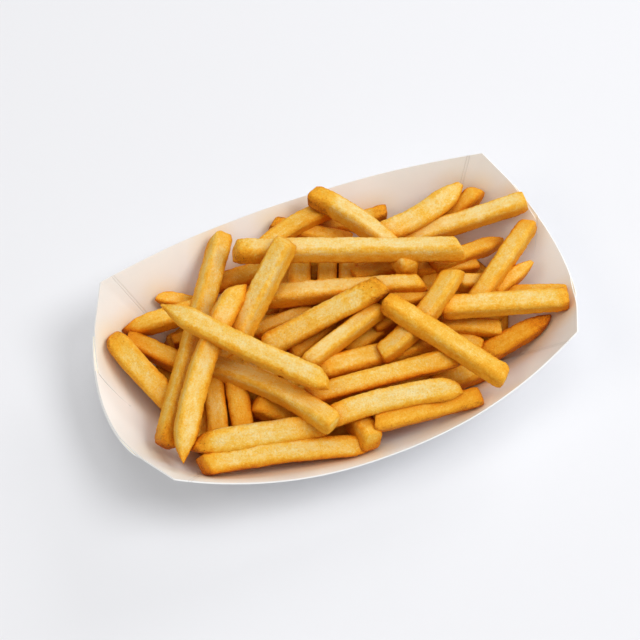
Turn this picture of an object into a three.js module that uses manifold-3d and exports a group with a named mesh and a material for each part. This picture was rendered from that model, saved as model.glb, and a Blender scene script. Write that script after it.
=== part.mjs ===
// French fries heaped in a boat-shaped tray of white paperboard.
//
// Millimetres, +Z up, origin at the middle of the tray's flat bottom. The tray is long
// along X and its two side walls stand at -Y and +Y. It is one folded blank: the ends of
// the side walls turn round the corners and lie as flaps inside the two end walls.
// The fries are one heap: a mound low in the tray with every fry that shows fused on.

import * as THREE from 'three';
import { mergeVertices } from 'three/addons/utils/BufferGeometryUtils.js';
import Module from 'manifold-3d';

const wasm = await Module();
wasm.setup();

// ---------------------------------------------------------------- sizes

const TRAY = {
  board: 0.6,                 // thickness of the paperboard
  floorX: 63, floorY: 28.5,   // corners of the flat floor
  floorBowX: 3, floorBowY: 4, // how far the floor's end and side creases bow out
  creaseX: 80,                // where a corner crease meets the rim
  cornerX: 85.3, cornerY: 45.9, cornerZ: 45,  // the rim's four high corners
  sideY: 62.2, sideZ: 31.2,   // middle of a side wall's rim
  sidePower: 2.2,             // fullness of the side wall's bow
  panelY: 31, panelX: 93.5, panelZ: 38.1,     // top corners of an outer end panel
  endX: 100.9, endZ: 29,      // middle of an end wall's rim
  flapMiddle: 0.03, flapTop: 0.43,  // a flap's free edge, as shares of the end panel
  flapPower: 3,               // how late that edge turns outward on its way up
};

const CORE = { x: 86, y: 47, z: 19, level: 8, shift: -3 };  // half-sizes, level and place of the mound
const LEVELS = [0, 0.34, 0.67, 1];  // where the wall's facets end, from floor to rim
const CLEAR = 0.35;           // gap between the heap and the tray
const SHELL = 9;              // thickness of the shell that trims the heap
const PAST_RIM = 1.06;        // how far up the wall's slope that shell goes

// The heap is laid out from one viewpoint, which looks down on the tray from its front
// left. A place is (across, down) in a window of WINDOW steps, each STEP millimetres
// wide where the sight line meets the target.
const WINDOW = 640;
const STEP = 0.41;
const VIEW = {
  azimuth: THREE.MathUtils.degToRad(-21.642),
  elevation: THREE.MathUtils.degToRad(62.636),
  distance: 603.6,
  target: new THREE.Vector3(-6.7, 1.71, 35),
};

// ---------------------------------------------------------------- the viewpoint

const back = new THREE.Vector3(
  Math.sin(VIEW.azimuth) * Math.cos(VIEW.elevation),
  -Math.cos(VIEW.azimuth) * Math.cos(VIEW.elevation),
  Math.sin(VIEW.elevation),
);
const right = new THREE.Vector3(Math.cos(VIEW.azimuth), Math.sin(VIEW.azimuth), 0);
const upward = new THREE.Vector3().crossVectors(back, right);
const eye = VIEW.target.clone().addScaledVector(back, VIEW.distance);
const reach = VIEW.distance / STEP;

// The place in the window where a point is seen.
function seenAt(point) {
  const arm = point.clone().sub(eye);
  const depth = -arm.dot(back);
  return [
    WINDOW / 2 + (reach * arm.dot(right)) / depth,
    WINDOW / 2 - (reach * arm.dot(upward)) / depth,
  ];
}

// The point at height z that is seen at a place in the window.
function pointSeen([across, down], z) {
  const line = back.clone().negate()
    .addScaledVector(right, (across - WINDOW / 2) / reach)
    .addScaledVector(upward, (WINDOW / 2 - down) / reach);
  return eye.clone().addScaledVector(line, (z - eye.z) / line.z);
}

// ---------------------------------------------------------------- the tray's walls

// A side wall's rim, and its crease with the floor, at a share from -1 to 1 of its length.
function sideRim(x) {
  const bow = 1 - Math.abs(x / TRAY.cornerX) ** TRAY.sidePower;
  const y = TRAY.cornerY + (TRAY.sideY - TRAY.cornerY) * bow;
  return new THREE.Vector3(x, y, TRAY.cornerZ + (TRAY.sideZ - TRAY.cornerZ) * bow);
}

function sideFoot(share) {
  return new THREE.Vector3(share * TRAY.floorX, TRAY.floorY + TRAY.floorBowY * (1 - share ** 2), TRAY.board);
}

// An end wall's rim: straight from the corner to the end panel, then a shallow bow.
function endRim(y) {
  const side = Math.abs(y);
  if (side > TRAY.panelY) {
    const part = (side - TRAY.panelY) / (TRAY.cornerY - TRAY.panelY);
    const x = THREE.MathUtils.lerp(TRAY.panelX, TRAY.cornerX, part);
    return new THREE.Vector3(x, y, THREE.MathUtils.lerp(TRAY.panelZ, TRAY.cornerZ, part));
  }
  const part = (side / TRAY.panelY) ** 2;
  const x = THREE.MathUtils.lerp(TRAY.endX, TRAY.panelX, part);
  return new THREE.Vector3(x, y, THREE.MathUtils.lerp(TRAY.endZ, TRAY.panelZ, part));
}

function endFoot(share) {
  return new THREE.Vector3(TRAY.floorX + TRAY.floorBowX * (1 - share ** 2), share * TRAY.floorY, TRAY.board);
}

// The flap's free edge on the end panel, at a share v of the way from floor to rim.
function flapEdge(v) {
  return TRAY.flapMiddle + (TRAY.flapTop - TRAY.flapMiddle) * v ** TRAY.flapPower;
}

// One column of the wall runs from floor to rim. inner and outer say how many boards
// lie between the line and the wall's two faces.
function column(foot, rim, inner = 0, outer = 1) {
  return { at: (v) => foot.clone().lerp(rim, v), inner, outer };
}

function endColumn(share, inner, outer) {
  return {
    at: (v) => {
      const s = share(v);
      return endFoot(s).lerp(endRim(s * TRAY.panelY), v);
    },
    inner,
    outer,
  };
}

// Half of the wall, clockwise from above: side wall, corner, end wall, corner.
function halfWall(detail) {
  const columns = [];
  const corner = new THREE.Vector3(TRAY.floorX, TRAY.floorY, TRAY.board);
  const mirrored = corner.clone().setY(-TRAY.floorY);
  const sideSteps = 24 * detail;
  for (let i = 0; i <= sideSteps; i += 1) {
    const share = (2 * i) / sideSteps - 1;
    columns.push(column(sideFoot(share), sideRim(share * TRAY.creaseX)));
  }
  const cornerRim = [];
  for (let i = 1; i <= 2 * detail; i += 1) {
    cornerRim.push(sideRim(THREE.MathUtils.lerp(TRAY.creaseX, TRAY.cornerX, i / (2 * detail))));
  }
  for (let i = 1; i < 4 * detail; i += 1) {
    cornerRim.push(endRim(THREE.MathUtils.lerp(TRAY.cornerY, TRAY.panelY, i / (4 * detail))));
  }
  cornerRim.forEach((rim) => columns.push(column(corner, rim)));

  // The end panel lies outside the two flaps, and shows inside only between them.
  const flapSteps = 6 * detail;
  const gapSteps = 4 * detail;
  const spread = (v, i) => THREE.MathUtils.lerp(1, flapEdge(v), i / flapSteps);
  const between = (v, i) => flapEdge(v) * (1 - (2 * i) / gapSteps);
  columns.push(endColumn((v) => spread(v, 0), 0, 1));
  for (let i = 0; i <= flapSteps; i += 1) columns.push(endColumn((v) => spread(v, i), 0, 2));
  for (let i = 0; i <= gapSteps; i += 1) columns.push(endColumn((v) => between(v, i), 1, 2));
  for (let i = flapSteps; i >= 0; i -= 1) columns.push(endColumn((v) => -spread(v, i), 0, 2));
  columns.push(endColumn((v) => -spread(v, 0), 0, 1));

  const flip = new THREE.Vector3(1, -1, 1);
  cornerRim.reverse().forEach((rim) => columns.push(column(mirrored, rim.clone().multiply(flip))));
  return columns;
}

// The whole wall: the half, and the same half turned round the middle of the tray.
function wholeWall(detail) {
  const half = halfWall(detail);
  const turn = new THREE.Vector3(-1, -1, 1);
  const turned = half.map((c) => ({ ...c, at: (v) => c.at(v).multiply(turn) }));
  return [...half, ...turned];
}

// The wall's outward direction at each column and level.
function wallNormals(columns, levels) {
  const count = columns.length;
  const grid = columns.map((c) => levels.map((v) => c.at(v)));
  return grid.map((line, i) => levels.map((v, j) => {
    const here = line[j];
    const ahead = line[Math.min(j + 1, levels.length - 1)].clone();
    const slope = ahead.sub(line[Math.max(j - 1, 0)]);
    let before = i;
    let after = i;
    const far = TRAY.board;
    do before = (before + count - 1) % count;
    while (grid[before][levels.length - 1].distanceTo(line[levels.length - 1]) < far);
    do after = (after + 1) % count;
    while (grid[after][levels.length - 1].distanceTo(line[levels.length - 1]) < far);
    const along = grid[after][Math.max(j, 1)].clone().sub(grid[before][Math.max(j, 1)]);
    const normal = slope.cross(along).normalize();
    if (normal.dot(new THREE.Vector3(here.x, here.y, 0)) < 0) normal.negate();
    return normal;
  }));
}

// A closed tray of the wall's form. Its inner face lies insideBy millimetres inside the
// wall's line, and its outer face as many boards outside as each column says, or
// thickness millimetres where that is given.
function trayShell({ levels, insideBy = 0, thickness = null }) {
  const columns = wholeWall(1);
  const normals = wallNormals(columns, levels);
  const inner = columns.map((c, i) => levels.map((v, j) => {
    const shift = c.inner * TRAY.board * Math.min(1, v * 3) - insideBy;
    return offsetPoint(c.at(v), normals[i][j], j === 0, shift);
  }));
  const outer = columns.map((c, i) => levels.map((v, j) => {
    const boards = thickness ?? (j === 0 ? 1 : c.outer) * TRAY.board;
    return offsetPoint(c.at(v), normals[i][j], j === 0, boards);
  }));
  const mesh = new FacetBuilder();
  const count = columns.length;
  const top = levels.length - 1;
  for (let i = 0; i < count; i += 1) {
    const k = (i + 1) % count;
    for (let j = 0; j < top; j += 1) {
      mesh.quad(inner[i][j], inner[k][j], inner[k][j + 1], inner[i][j + 1]);
      mesh.quad(outer[i][j], outer[i][j + 1], outer[k][j + 1], outer[k][j]);
    }
    mesh.quad(inner[i][top], inner[k][top], outer[k][top], outer[i][top]);
  }
  mesh.fan(inner.map((line) => line[0]), true);
  mesh.fan(outer.map((line) => line[0]), false);
  return mesh.manifold();
}

// A point moved outward by shift; at the floor's crease it moves down just as far.
function offsetPoint(point, normal, atFloor, shift) {
  if (!atFloor) return point.addScaledVector(normal, shift);
  const mitre = normal.clone().add(new THREE.Vector3(0, 0, -1)).normalize();
  return point.addScaledVector(mitre, -shift / mitre.z);
}

// ---------------------------------------------------------------- facets

// Gathers triangles, drops those with no area, and makes a solid of them.
class FacetBuilder {
  constructor() {
    this.positions = [];
  }

  triangle(a, b, c) {
    const touching = (p, q) => p.distanceToSquared(q) < 1e-8;
    if (touching(a, b) || touching(b, c) || touching(c, a)) return;
    this.positions.push(...a, ...b, ...c);
  }

  quad(a, b, c, d) {
    this.triangle(a, b, c);
    this.triangle(a, c, d);
  }

  fan(loop, facesUp) {
    const middle = loop.reduce((sum, p) => sum.add(p), new THREE.Vector3()).divideScalar(loop.length);
    loop.forEach((p, i) => {
      const q = loop[(i + 1) % loop.length];
      if (facesUp) this.triangle(middle, q, p);
      else this.triangle(middle, p, q);
    });
  }

  manifold() {
    const loose = new THREE.BufferGeometry();
    loose.setAttribute('position', new THREE.Float32BufferAttribute(this.positions, 3));
    return solidOf(loose);
  }
}

function solidOf(geometry) {
  const bare = geometry.clone();
  bare.deleteAttribute('normal');
  bare.deleteAttribute('uv');
  const merged = mergeVertices(bare, 1e-4);
  return new wasm.Manifold(new wasm.Mesh({
    numProp: 3,
    vertProperties: new Float32Array(merged.attributes.position.array),
    triVerts: new Uint32Array(merged.index.array),
  }));
}

function geometryOf(solid) {
  const { numProp, vertProperties, triVerts } = solid.getMesh();
  const geometry = new THREE.BufferGeometry();
  const count = vertProperties.length / numProp;
  const position = new Float32Array(count * 3);
  for (let i = 0; i < count; i += 1) {
    for (let k = 0; k < 3; k += 1) position[3 * i + k] = vertProperties[numProp * i + k];
  }
  geometry.setAttribute('position', new THREE.BufferAttribute(position, 3));
  geometry.setIndex(new THREE.BufferAttribute(new Uint32Array(triVerts), 1));
  geometry.computeVertexNormals();
  return geometry;
}

// The largest body of a solid: loose scraps and sealed hollows fall away.
function largestBody(solid) {
  return solid.decompose().reduce((best, body) => (body.volume() > best.volume() ? body : best));
}

// ---------------------------------------------------------------- the fries' places

// A fry: where its two tips are seen, how wide it looks at one end and at the other, how
// far its middle is bent sideways, how many degrees it is rolled from lying flat, and
// the form of its two tips. The list runs from the lowest fries up to the topmost.
function fry(name, from, to, wide, { wideTo = wide, bow = 0, roll = 0, tips = ['blunt', 'blunt'] } = {}) {
  const length = Math.hypot(to[0] - from[0], to[1] - from[1]);
  return { name, from, to, length, wide, wideTo, bow, roll, tips };
}

const FRIES = [
  // deep in the heap, seen only in its gaps
  fry('deep_left_1', [199, 403], [204, 450], 18),
  fry('deep_left_2', [213, 378], [219, 442], 21),
  fry('deep_left_3', [236, 378], [244, 434], 23),
  fry('deep_left_4', [254, 404], [302, 421], 26),
  fry('deep_middle_1', [292, 356], [330, 324], 20),
  fry('deep_middle_2', [345, 352], [393, 320], 24),
  fry('deep_middle_3', [375, 328], [408, 306], 22, { tips: ['round', 'blunt'] }),
  fry('deep_right', [432, 389], [490, 367], 24),
  fry('deep_back_1', [301, 252], [299, 298], 23),
  fry('deep_back_2', [328, 252], [326, 298], 21),
  fry('deep_back_3', [348, 252], [347, 296], 19),
  fry('deep_back_4', [354, 277], [404, 262], 20),
  fry('deep_back_5', [424, 256], [433, 304], 21),
  fry('deep_back_6', [414, 270], [476, 264], 18),
  // along the tray's walls
  fry('left_shelf_1', [157, 297], [210, 307], 17),
  fry('left_shelf_2', [130, 341], [192, 369], 24),
  fry('left_shelf_3', [173, 341], [206, 331], 14),
  fry('left_shelf_4', [126, 331], [202, 308], 23, { tips: ['round', 'blunt'] }),
  fry('left_wall', [112, 335], [183, 411], 26, { bow: -3, roll: -10 }),
  fry('left_gap', [216, 285], [268, 268], 22),
  fry('front_wall', [203, 466], [373, 445], 23, { bow: 4, roll: -20, tips: ['blunt', 'point'] }),
  fry('front_stub', [346, 403], [373, 442], 28, { roll: 20 }),
  fry('front_right', [375, 423], [481, 396], 21, { roll: -10 }),
  fry('front_left', [193, 446], [325, 425], 25, { roll: -25, tips: ['point', 'blunt'] }),
  fry('front_middle', [331, 417], [461, 388], 24, { bow: 5, roll: -20, tips: ['blunt', 'slant'] }),
  fry('right_brown', [550, 318], [487, 353], 22, { wideTo: 25, tips: ['round', 'blunt'] }),
  fry('right_stub', [482, 346], [452, 333], 15),
  fry('right_inner', [438, 324], [500, 329], 20),
  fry('right_shelf', [498, 292], [566, 291], 15),
  fry('back_stub', [386, 212], [320, 231], 18),
  fry('back_brown', [272, 224], [350, 241], 19),
  fry('back_tip_2', [480, 190], [438, 225], 22, { tips: ['round', 'blunt'] }),
  fry('back_right', [525, 201], [400, 242], 23),
  fry('back_tip_1', [459, 185], [380, 235], 26, { bow: 6, roll: 15, tips: ['point', 'blunt'] }),
  fry('right_back_low', [503, 241], [432, 265], 20),
  // the middle layers
  fry('middle_pale', [253, 333], [314, 310], 19, { tips: ['round', 'blunt'] }),
  fry('middle_low', [319, 371], [444, 339], 26),
  fry('middle_long', [308, 397], [458, 356], 22, { roll: -12 }),
  fry('middle_short', [374, 303], [440, 294], 18),
  fry('fork_right', [532, 262], [494, 293], 17, { tips: ['round', 'blunt'] }),
  fry('fork_foot', [458, 283], [488, 283], 20),
  fry('fork_left', [529, 224], [473, 307], 23, { roll: -15 }),
  fry('upper_level', [258, 297], [423, 283], 27, { wideTo: 20, roll: 5 }),
  fry('back_sloped', [336, 207], [262, 250], 22, { bow: -5 }),
  fry('back_long', [313, 196], [405, 277], 25, { bow: 11, roll: 15 }),
  fry('upper_rising_2', [308, 364], [381, 307], 21, { roll: 10 }),
  fry('right_level', [444, 308], [571, 299], 25, { roll: 5, tips: ['blunt', 'slant'] }),
  fry('upper_falling', [454, 271], [381, 355], 24, { bow: 7, roll: -20 }),
  fry('left_low', [194, 363], [334, 425], 25, { bow: 9, roll: 10 }),
  // on top
  fry('top_left_long', [221, 238], [165, 445], 25, { roll: 35 }),
  fry('top_back', [235, 251], [465, 249], 25.5, { roll: 12 }),
  fry('upper_rising_1', [383, 285], [266, 347], 25, { roll: 20 }),
  fry('top_steep', [287, 241], [238, 338], 26, { roll: -20 }),
  fry('top_left_point', [235, 287], [182, 461], 25, { bow: -10, roll: 25, tips: ['blunt', 'sharp'] }),
  fry('top_right', [386, 302], [505, 378], 24.5, { roll: 15 }),
  fry('top_crossing', [163, 305], [327, 382], 23.5, { bow: -3, roll: -5, tips: ['sharp', 'round'] }),
];

// How a fry's section shrinks towards a tip: its size at the tip as a share of the full
// one, the length of the taper in widths, and how suddenly it ends.
const TIPS = {
  blunt: { least: 0.74, length: 0.35, power: 2.6 },
  round: { least: 0.5, length: 0.6, power: 2.4 },
  slant: { least: 0.45, length: 0.9, power: 2 },
  point: { least: 0.3, length: 1.2, power: 2 },
  sharp: { least: 0.15, length: 1.3, power: 1.6 },
};

function tipScale(tip, widths) {
  const { least, length, power } = TIPS[tip];
  return 1 - (1 - least) * Math.max(0, 1 - widths / length) ** power;
}

// ---------------------------------------------------------------- settling the heap

const CELL = 3;               // steps of the window in one cell of the bed
const PRESS = 0.28;           // half-depth of a fry as it lies, as a share of its width
const ALONG = 36;             // samples along a fry
const STEEPEST = 0.3;         // most that a fry climbs, as a share of its length
const TILTS = 24;             // tilts tried each way
const LEVELLING = 0.2;        // how far a fry would lie higher to climb a millimetre less
const ACROSS = [-0.8, -0.5, -0.2, 0.2, 0.5, 0.8];

// The bed holds, for each sight line, the height of what it meets first.
class Bed {
  constructor() {
    this.size = Math.ceil(WINDOW / CELL);
    this.heights = new Float64Array(this.size * this.size);
  }

  cell([across, down]) {
    return Math.floor(down / CELL) * this.size + Math.floor(across / CELL);
  }

  raise(place, z) {
    const cell = this.cell(place);
    this.heights[cell] = Math.max(this.heights[cell], z);
  }

  height(place) {
    return this.heights[this.cell(place)];
  }
}

function emptyBed() {
  const bed = new Bed();
  const columns = wholeWall(8);
  const rows = 90;
  for (const c of columns) {
    for (let j = 0; j <= rows; j += 1) {
      const point = c.at(j / rows);
      bed.raise(seenAt(point), point.z + CLEAR);
    }
  }
  const turns = 720;
  for (let i = 0; i < turns; i += 1) {
    for (let j = 0; j <= rows; j += 1) {
      const point = corePoint((i / turns) * 2 * Math.PI, (j / rows) * (Math.PI / 2));
      bed.raise(seenAt(point), point.z);
    }
  }
  return bed;
}

function corePoint(turn, rise) {
  return new THREE.Vector3(
    CORE.shift + CORE.x * Math.cos(turn) * Math.cos(rise),
    CORE.y * Math.sin(turn) * Math.cos(rise),
    CORE.level + CORE.z * Math.sin(rise),
  );
}

// The place on a fry's line, a share s of the way along.
function lineAt({ from, to, length, bow }, s) {
  const along = [(to[0] - from[0]) / length, (to[1] - from[1]) / length];
  const side = bow * 4 * s * (1 - s);
  return [
    from[0] + along[0] * length * s + along[1] * side,
    from[1] + along[1] * length * s - along[0] * side,
  ];
}

// How wide a fry looks, a share s of the way along.
function widthAt(item, s) {
  const full = THREE.MathUtils.lerp(item.wide, item.wideTo, s);
  const first = tipScale(item.tips[0], (s * item.length) / full);
  const last = tipScale(item.tips[1], ((1 - s) * item.length) / full);
  return full * Math.min(first, last);
}

// Lowers a fry along the sight lines until it rests on what lies under it, and gives the
// heights of its two tips.
function settle(item, bed) {
  const across = [(item.to[1] - item.from[1]) / item.length, (item.from[0] - item.to[0]) / item.length];
  const touches = [];
  const needs = [];
  for (let i = 0; i <= ALONG; i += 1) {
    const s = i / ALONG;
    const middle = lineAt(item, s);
    const width = widthAt(item, s);
    const row = ACROSS.map((t) => {
      const shift = (t * width) / 2;
      const place = [middle[0] + across[0] * shift, middle[1] + across[1] * shift];
      return { s, place, rise: PRESS * width * STEP * back.z * Math.sqrt(1 - t * t) };
    });
    touches.push(...row);
    needs.push({ s, z: Math.max(...row.map(({ place, rise }) => bed.height(place) + rise)) });
  }
  const [start, end] = restingLine(needs, item.length * STEP);
  touches.forEach(({ s, place, rise }) => bed.raise(place, THREE.MathUtils.lerp(start, end, s) + rise));
  return [start, end];
}

// Tries every tilt up to the steepest one, and keeps the one that lets the fry lie lowest
// with all its needs cleared.
function restingLine(needs, length) {
  let best = { cost: Infinity };
  for (let step = -TILTS; step <= TILTS; step += 1) {
    const climb = (step / TILTS) * STEEPEST * length;
    const middle = Math.max(...needs.map(({ s, z }) => z - climb * (s - 0.5)));
    const cost = middle + LEVELLING * Math.abs(climb);
    if (cost < best.cost) best = { cost, middle, climb };
  }
  return [best.middle - best.climb / 2, best.middle + best.climb / 2];
}

// ---------------------------------------------------------------- a fry's solid

const CORNER = 0.2;           // how much of a fry's face its rounded edges take
const STATIONS = [0, 0.3, 1];  // ring places along the taper of a tip
const MIDDLES = [0.25, 0.5, 0.75];  // ring places between the tapers of a bent fry
const NUDGE = 0.02;           // share of its length over which a fry's direction is taken

// The section of a fry of width 1: a square with its edges cut off.
const SECTION = [];
for (const [x, y] of [[1, 1], [-1, 1], [-1, -1], [1, -1]]) {
  const near = 0.5 - CORNER;
  if (x === y) SECTION.push([x / 2, y * near], [x * near, y / 2]);
  else SECTION.push([x * near, y / 2], [x / 2, y * near]);
}

// Where a fry's rings stand, as shares of its length.
function ringShares({ tips, wide, wideTo, length, bow }) {
  const first = STATIONS.map((k) => (k * TIPS[tips[0]].length * wide) / length);
  const last = STATIONS.map((k) => 1 - (k * TIPS[tips[1]].length * wideTo) / length).reverse();
  const middles = bow === 0 ? [] : MIDDLES.map((k) => THREE.MathUtils.lerp(first[2], last[0], k));
  return [...first, ...middles, ...last];
}

function frySolid(item, [start, end]) {
  const line = (s) => pointSeen(lineAt(item, s), THREE.MathUtils.lerp(start, end, s));
  const roll = THREE.MathUtils.degToRad(item.roll);
  const rings = ringShares(item).map((s) => {
    const along = line(s + NUDGE).sub(line(s - NUDGE)).normalize();
    const side = new THREE.Vector3().crossVectors(along, new THREE.Vector3(0, 0, 1)).normalize();
    const top = new THREE.Vector3().crossVectors(side, along);
    const sideways = side.clone().multiplyScalar(Math.cos(roll)).addScaledVector(top, Math.sin(roll));
    const upright = top.clone().multiplyScalar(Math.cos(roll)).addScaledVector(side, -Math.sin(roll));
    const looked = new THREE.Vector3().crossVectors(along, back).normalize();
    const spread = SECTION.map(([x, y]) => x * sideways.dot(looked) + y * upright.dot(looked));
    const width = (widthAt(item, s) * STEP) / (2 * Math.max(...spread));
    return SECTION.map(([x, y]) => line(s)
      .addScaledVector(sideways, x * width)
      .addScaledVector(upright, y * width));
  });
  const mesh = new FacetBuilder();
  for (let i = 0; i + 1 < rings.length; i += 1) {
    rings[i].forEach((p, k) => {
      const next = (k + 1) % rings[i].length;
      mesh.quad(p, rings[i + 1][k], rings[i + 1][next], rings[i][next]);
    });
  }
  mesh.fan(rings[0], false);
  mesh.fan(rings[rings.length - 1], true);
  return mesh.manifold();
}

// ---------------------------------------------------------------- the heap

function coreSolid() {
  const dome = new THREE.SphereGeometry(1, 32, 16);
  dome.rotateX(Math.PI / 2);
  dome.scale(CORE.x, CORE.y, CORE.z);
  dome.translate(CORE.shift, 0, CORE.level);
  return solidOf(dome);
}

function heapSolid() {
  const bed = emptyBed();
  let heap = coreSolid();
  for (const item of FRIES) heap = heap.add(frySolid(item, settle(item, bed)));
  const around = trayShell({ levels: [...LEVELS, PAST_RIM], insideBy: CLEAR, thickness: SHELL });
  return largestBody(heap.subtract(around));
}

// ---------------------------------------------------------------- the model

const white = new THREE.MeshStandardMaterial({ color: 0xf3eee6, roughness: 0.75, metalness: 0 });
const golden = new THREE.MeshStandardMaterial({ color: 0xe2a94a, roughness: 0.6, metalness: 0 });

function part(name, solid, material) {
  const mesh = new THREE.Mesh(geometryOf(solid), material);
  mesh.name = name;
  return mesh;
}

const model = new THREE.Group();
model.name = 'french_fries_in_tray';
model.add(part('tray', trayShell({ levels: LEVELS }), white));
model.add(part('fries', heapSolid(), golden));

export default model;
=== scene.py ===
"""French fries in a paperboard tray: the looks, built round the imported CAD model.

Lengths are in millimetres here, as in the CAD source, and become metres when a mesh is
made. The tray is rebuilt as folded board: one sheet with its flaps, and the two end
panels that lie outside them. The heap is rebuilt fry by fry over a core of its own.
"""

import itertools
import math

import bmesh
import bpy
import numpy as np
from mathutils import Matrix, Vector
from mathutils.kdtree import KDTree


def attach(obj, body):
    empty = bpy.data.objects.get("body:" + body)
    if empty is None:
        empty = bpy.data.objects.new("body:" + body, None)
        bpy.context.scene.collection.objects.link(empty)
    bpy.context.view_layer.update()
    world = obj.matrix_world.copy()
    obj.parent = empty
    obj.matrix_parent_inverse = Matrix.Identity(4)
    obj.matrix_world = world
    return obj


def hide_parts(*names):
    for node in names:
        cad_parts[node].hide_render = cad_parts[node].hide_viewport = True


MM = 0.001
SEED = 7

# ---------------------------------------------------------------- sizes of the CAD model

BOARD = 0.6                    # thickness of the paperboard
FLOOR = (63.0, 28.5)           # corners of the flat floor
FLOOR_BOW = (3.0, 4.0)         # how far its end and side creases bow out
CREASE_X = 80.0                # where a corner crease meets the rim
CORNER = (85.3, 45.9, 45.0)    # the rim's four high corners
SIDE_MIDDLE = (62.2, 31.2)     # across and up, middle of a side wall's rim
SIDE_POWER = 2.2               # fullness of the side wall's bow
PANEL_TOP = (93.5, 31.0, 38.1)  # top corners of an outer end panel
END_MIDDLE = (100.9, 29.0)     # along and up, middle of an end wall's rim
FLAP_TOP = 0.515               # a flap's free edge at the rim, as a share of the panel
FLAP_TURN = 0.7                # how far up it turns outward

CORE = {"x": 86.0, "y": 47.0, "z": 19.0, "level": 8.0, "shift": -3.0}
CLEAR = 0.35                   # gap between the heap and the tray

# ---------------------------------------------------------------- the viewpoint

WINDOW = 640                   # width of the picture in its own steps
STEP = 0.41                    # millimetres in a step where the view line meets the target
AZIMUTH = math.radians(-21.642)
ELEVATION = math.radians(62.636)
DISTANCE = 603.6
TARGET = np.array([-6.7, 1.71, 35.0])
SENSOR = 36.0                  # width of the camera's sensor

BACK = np.array([
    math.sin(AZIMUTH) * math.cos(ELEVATION),
    -math.cos(AZIMUTH) * math.cos(ELEVATION),
    math.sin(ELEVATION),
])
RIGHT = np.array([math.cos(AZIMUTH), math.sin(AZIMUTH), 0.0])
UPWARD = np.cross(BACK, RIGHT)
EYE = TARGET + BACK * DISTANCE
REACH = DISTANCE / STEP


def seen_at(points):
    """Where points are seen in the window, as (across, down)."""
    arm = points - EYE
    depth = -arm @ BACK
    across = WINDOW / 2 + REACH * (arm @ RIGHT) / depth
    down = WINDOW / 2 - REACH * (arm @ UPWARD) / depth
    return np.stack([across, down], -1)


def point_seen(places, z):
    """The points at heights z that are seen at places in the window."""
    line = (
        -BACK
        + RIGHT * ((places[..., :1] - WINDOW / 2) / REACH)
        + UPWARD * ((WINDOW / 2 - places[..., 1:]) / REACH)
    )
    return EYE + line * ((z - EYE[2]) / line[..., 2])[..., None]


def make_camera():
    data = bpy.data.cameras.new("camera")
    data.sensor_width = SENSOR
    data.lens = SENSOR * REACH / WINDOW
    data.clip_start = 0.01
    data.clip_end = 20
    camera = bpy.data.objects.new("camera", data)
    camera.location = Vector(EYE * MM)
    camera.rotation_euler = Matrix(np.stack([RIGHT, UPWARD, BACK], 1).tolist()).to_euler()
    bpy.context.scene.collection.objects.link(camera)
    bpy.context.scene.camera = camera


# ---------------------------------------------------------------- helpers


class Noise:
    """Smooth noise in space, from about -1 to 1, the same on every run."""

    def __init__(self, seed):
        draws = np.random.default_rng(seed)
        self.order = np.concatenate([draws.permutation(256)] * 2)
        slopes = draws.normal(size=(256, 3))
        self.slopes = slopes / np.linalg.norm(slopes, axis=1, keepdims=True)

    def __call__(self, points, size=1.0):
        scaled = points / size
        cell = np.floor(scaled).astype(int)
        part = scaled - cell
        fade = part ** 3 * (part * (part * 6 - 15) + 10)
        total = np.zeros(points.shape[:-1])
        for corner in itertools.product((0, 1), repeat=3):
            i, j, k = np.moveaxis((cell + corner) & 255, -1, 0)
            slope = self.slopes[self.order[self.order[self.order[i] + j] + k]]
            weight = np.where(corner, fade, 1 - fade).prod(-1)
            total += (slope * (part - corner)).sum(-1) * weight
        return total * 1.5


NOISE = Noise(SEED)


def mix(a, b, t):
    return a + (b - a) * t


def unit(vectors):
    return vectors / np.linalg.norm(vectors, axis=-1, keepdims=True)


def make_object(name, points, faces, attributes=None, smooth=True):
    """A mesh object from points in millimetres, quads and triangles, and numbers per point."""
    mesh = bpy.data.meshes.new(name)
    mesh.from_pydata((points * MM).tolist(), [], faces)
    for key, values in (attributes or {}).items():
        kind, field = ("FLOAT_VECTOR", "vector") if values.ndim > 1 else ("FLOAT", "value")
        mesh.attributes.new(key, kind, "POINT").data.foreach_set(field, values.astype(np.float32).ravel())
    mesh.polygons.foreach_set("use_smooth", [smooth] * len(mesh.polygons))
    mesh.update()
    piece = bpy.data.objects.new(name, mesh)
    bpy.context.scene.collection.objects.link(piece)
    return piece


# ---------------------------------------------------------------- the tray's walls


def side_rim(x):
    bow = 1 - np.abs(x / CORNER[0]) ** SIDE_POWER
    y = CORNER[1] + (SIDE_MIDDLE[0] - CORNER[1]) * bow
    z = CORNER[2] + (SIDE_MIDDLE[1] - CORNER[2]) * bow
    return np.stack([x, y, z], -1)


def side_foot(share):
    y = FLOOR[1] + FLOOR_BOW[1] * (1 - share ** 2)
    return np.stack([share * FLOOR[0], y, np.full_like(share, BOARD)], -1)


def end_rim(y):
    """An end wall's rim: straight from the corner to the end panel, then a shallow bow."""
    side = np.abs(y)
    part = np.clip((side - PANEL_TOP[1]) / (CORNER[1] - PANEL_TOP[1]), 0, 1)
    straight = np.stack([mix(PANEL_TOP[0], CORNER[0], part), y, mix(PANEL_TOP[2], CORNER[2], part)], -1)
    part = (side / PANEL_TOP[1]) ** 2
    bowed = np.stack([mix(END_MIDDLE[0], PANEL_TOP[0], part), y, mix(END_MIDDLE[1], PANEL_TOP[2], part)], -1)
    return np.where((side > PANEL_TOP[1])[..., None], straight, bowed)


def end_foot(share):
    x = FLOOR[0] + FLOOR_BOW[0] * (1 - share ** 2)
    return np.stack([x, share * FLOOR[1], np.full_like(share, BOARD)], -1)


def between(foot, rim, levels):
    """A wall between two lines, as an array of columns by levels."""
    return mix(foot[:, None], rim[:, None], levels[..., None])


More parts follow.
